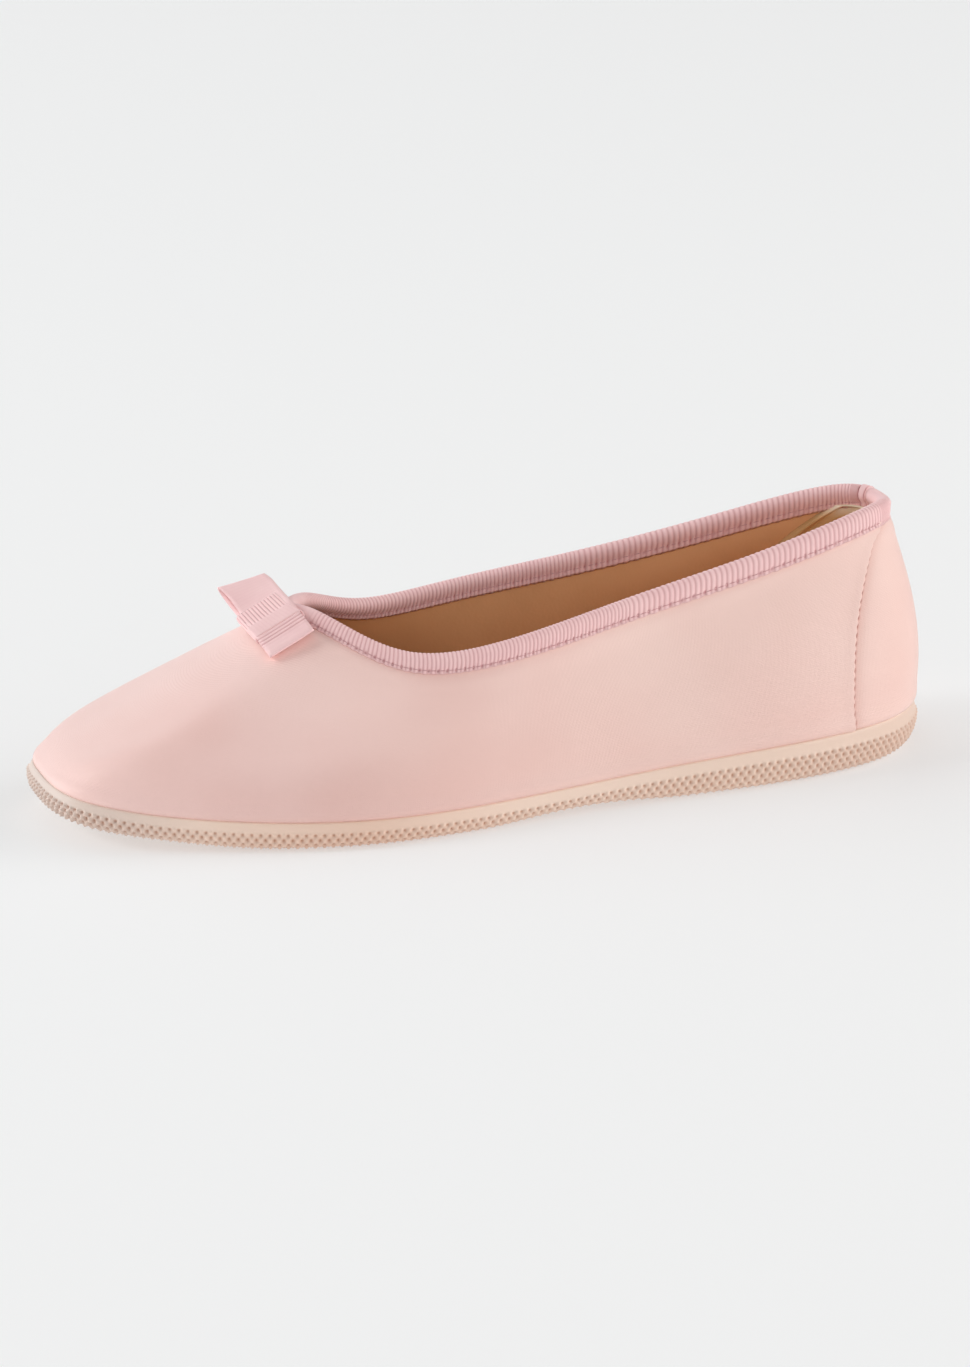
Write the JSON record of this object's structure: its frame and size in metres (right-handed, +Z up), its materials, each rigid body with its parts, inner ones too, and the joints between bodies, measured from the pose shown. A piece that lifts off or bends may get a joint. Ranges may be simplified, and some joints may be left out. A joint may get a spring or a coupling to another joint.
{
  "type": "ballerina house slipper",
  "caption": "Low-cut ballerina slipper for the left foot with a ribbon-bound collar, a small flat bow at the throat and a thin one-piece rubber sole.",
  "frame": {"origin": "middle of the sole's outline box, on the floor plane", "axes": "+X towards the toe, +Y towards the outer side of the left foot, +Z up from the floor"},
  "size_m": [0.2448, 0.0848, 0.0665],
  "materials": {
    "sole_rubber": "matt moulded rubber",
    "footbed": "smooth tan leather-look lining",
    "upper_fabric": "soft satin microfibre",
    "ribbon": "ribbed grosgrain ribbon",
    "heel_grip": "soft cream lining"
  },
  "bodies": {
    "root": {"outsole": "sole_rubber", "insole": "footbed", "upper": "upper_fabric", "collar_binding": "ribbon", "heel_lining": "heel_grip", "bow_ribbon": "ribbon", "bow_wrap": "ribbon"}
  },
  "joints": []
}
